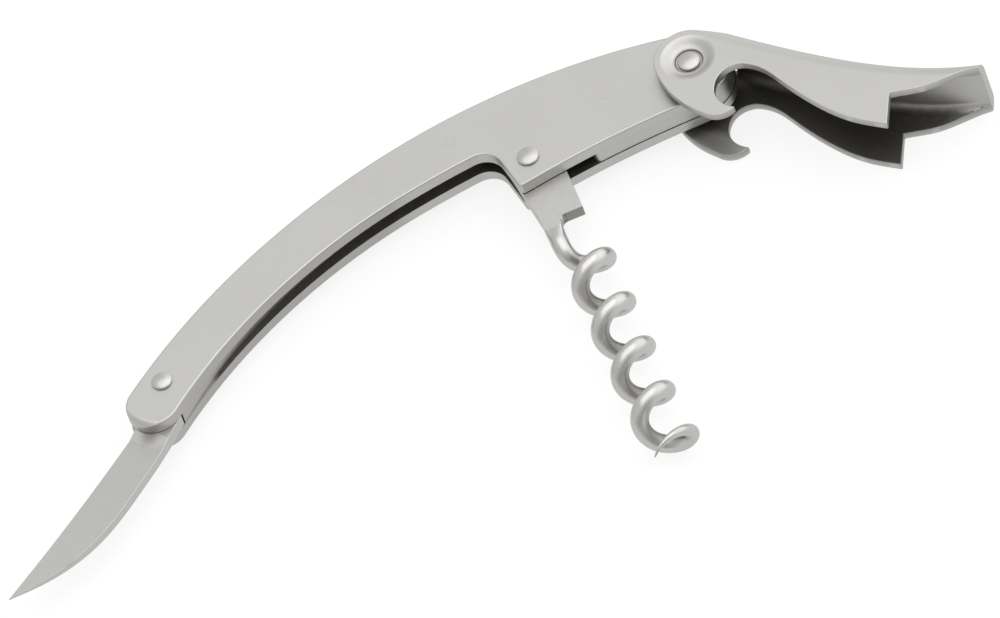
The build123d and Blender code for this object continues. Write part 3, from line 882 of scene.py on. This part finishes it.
def worm_painted_shade(mesh):
    """Painted shade: 1 on the side of the wire that faces the coil's axis, less under the shoulder.

    With r the distance from the coil's axis, the wire's inner half has r below the coil's own
    radius, so the mask falls from 1 to 0 as r goes from the bore to just under that radius.
    """
    places, _, normal = corner_arrays(mesh)
    beside, along, above = in_worm(places).T
    reach = np.hypot(beside - COIL_OFFSET, above)
    inner = 1 - ramp(reach / COIL_RADIUS, *BORE_TO_WIRE)
    down, _ = along_and_across(normal, WORM_LEAN)
    under = UNDER_SHOULDER * ((down > 0.8) & (along < SHOULDER + 0.3))
    return np.maximum(inner * ramp(along, COIL_START, COIL_DARK), under)


def below_worm_rivet(place):
    """How far one point lies from the worm's rivet along the worm's own axis."""
    return in_worm(np.array(place))[1]


worm = soft_copy("worm", RUBBED, spare=lambda place: below_worm_rivet(place) > SHOULDER,
                 smooth=lambda place: below_worm_rivet(place) > ROUND_WIRE)
# The coil's inner side and the faces under the shoulder get painted shade.
set_painted_shade(worm.data, worm_painted_shade(worm.data), "CORNER")
worm_places = read(worm.data.vertices, "co", 3)
worm.data.normals_split_custom_set_from_vertices(wire_normals(worm_places).tolist())
forged = worm.vertex_groups.new(name="forged")
forged.add(np.flatnonzero(in_worm(worm_places)[:, 1] < ROUND_WIRE).tolist(), 1.0, "REPLACE")
worm.modifiers["flat_faces"].vertex_group = "forged"


# %% [markdown]
# The rivets
#
# A cold-headed rivet has a low dome over a short upright rim, and the rim is tucked in a little
# where it meets the plate.  That tuck, and painted shade at the foot of the rim, draw the thin
# dark line round a rivet head.  A flattened sphere has no rim, and a bevelled cylinder no dome,
# so the whole outline of the rivet, from one pole to the other, is one profile turned about the pivot like the
# dish.

# %% Rivets, in mm
HEAD_HEIGHT, HEAD_RIM = 0.8, 0.4  # whole head, and its upright rim
TUCK = 0.10                       # how much slimmer the rim is where it meets the plate
RIM_FOOT = 0.24                   # where the rim is upright, above the seat
SHOULDER_IN = 0.22                # where the dome begins, inside the rim
DOME_STEPS = 14
EAR_SEAT = 5.12                   # where the lever rivet's heads begin, just over the dish's floor
RIVETS = {                        # shank, head, seat above the middle, and joint
    "blade_rivet": (1.30, 1.75, PLATE_FACE, "blade_fold"),
    "worm_rivet": (1.40, 1.88, PLATE_FACE, "worm_fold"),
    "lever_rivet": (1.45, 1.95, EAR_SEAT, "lever_close"),
}


def with_poles(points, walls, low, high):
    """Closes the two ends of a turned surface with a fan round a point on the axis each."""
    count = len(points)
    first, last = np.arange(ROUND_STEPS), np.arange(count - ROUND_STEPS, count)
    low_fan = np.stack([np.roll(first, -1), first, np.full(ROUND_STEPS, count)], axis=-1)
    top_fan = np.stack([last, np.roll(last, -1), np.full(ROUND_STEPS, count + 1)], axis=-1)
    return np.vstack([points, low, high]), walls + low_fan.tolist() + top_fan.tolist()


def head_profile(head, seat):
    """Half profile of one head above its seat, from under the rim to the top of the dome.

    The dome is part of a sphere of radius (head^2 + rise^2) / (2 rise).
    """
    rise = HEAD_HEIGHT - HEAD_RIM
    ball = (head ** 2 + rise ** 2) / (2 * rise)
    middle = seat + HEAD_HEIGHT - ball
    sweep = np.linspace(asin((head - SHOULDER_IN) / ball), 0, DOME_STEPS)
    dome = np.column_stack([ball * np.sin(sweep), middle + ball * np.cos(sweep)])
    foot = bent((head - TUCK, seat), (head, seat + 0.02), (head, seat + 0.2))
    corner = bent((head, seat + RIM_FOOT), (head, seat + HEAD_RIM - 0.02), dome[0])
    return np.vstack([foot, corner, dome[1:]])


def make_rivet(name, shank, head, seat, joint):
    """A rivet with a head on each side, about a joint's axis."""
    half = np.vstack([[(shank, 0.0), (shank, seat)], head_profile(head, seat)])
    profile = np.vstack([(half * [1, -1])[::-1][:-1], half[1:]]) * MM
    centre = np.array(joints[joint]["pos_m"])
    points, walls = turned(profile[1:-1], centre)
    points, faces = with_poles(points, walls, centre + [0, 0, profile[0, 1]],
                               centre + [0, 0, profile[-1, 1]])
    mesh = bpy.data.meshes.new(f"{name}_skin")
    mesh.from_pydata(points.tolist(), [], faces)
    mesh.shade_smooth()
    mesh.set_sharp_from_angle(angle=radians(45))
    over_seat = np.abs(points[:, 2] - centre[2]) / MM - seat
    # The foot of the rim is painted darker, as painted shade where the head meets its seat.
    set_painted_shade(mesh, 1 - ramp(over_seat, 0.0, RIM_FOOT), "POINT")
    dress(name, mesh)


for name, sizes in RIVETS.items():
    make_rivet(name, *sizes)
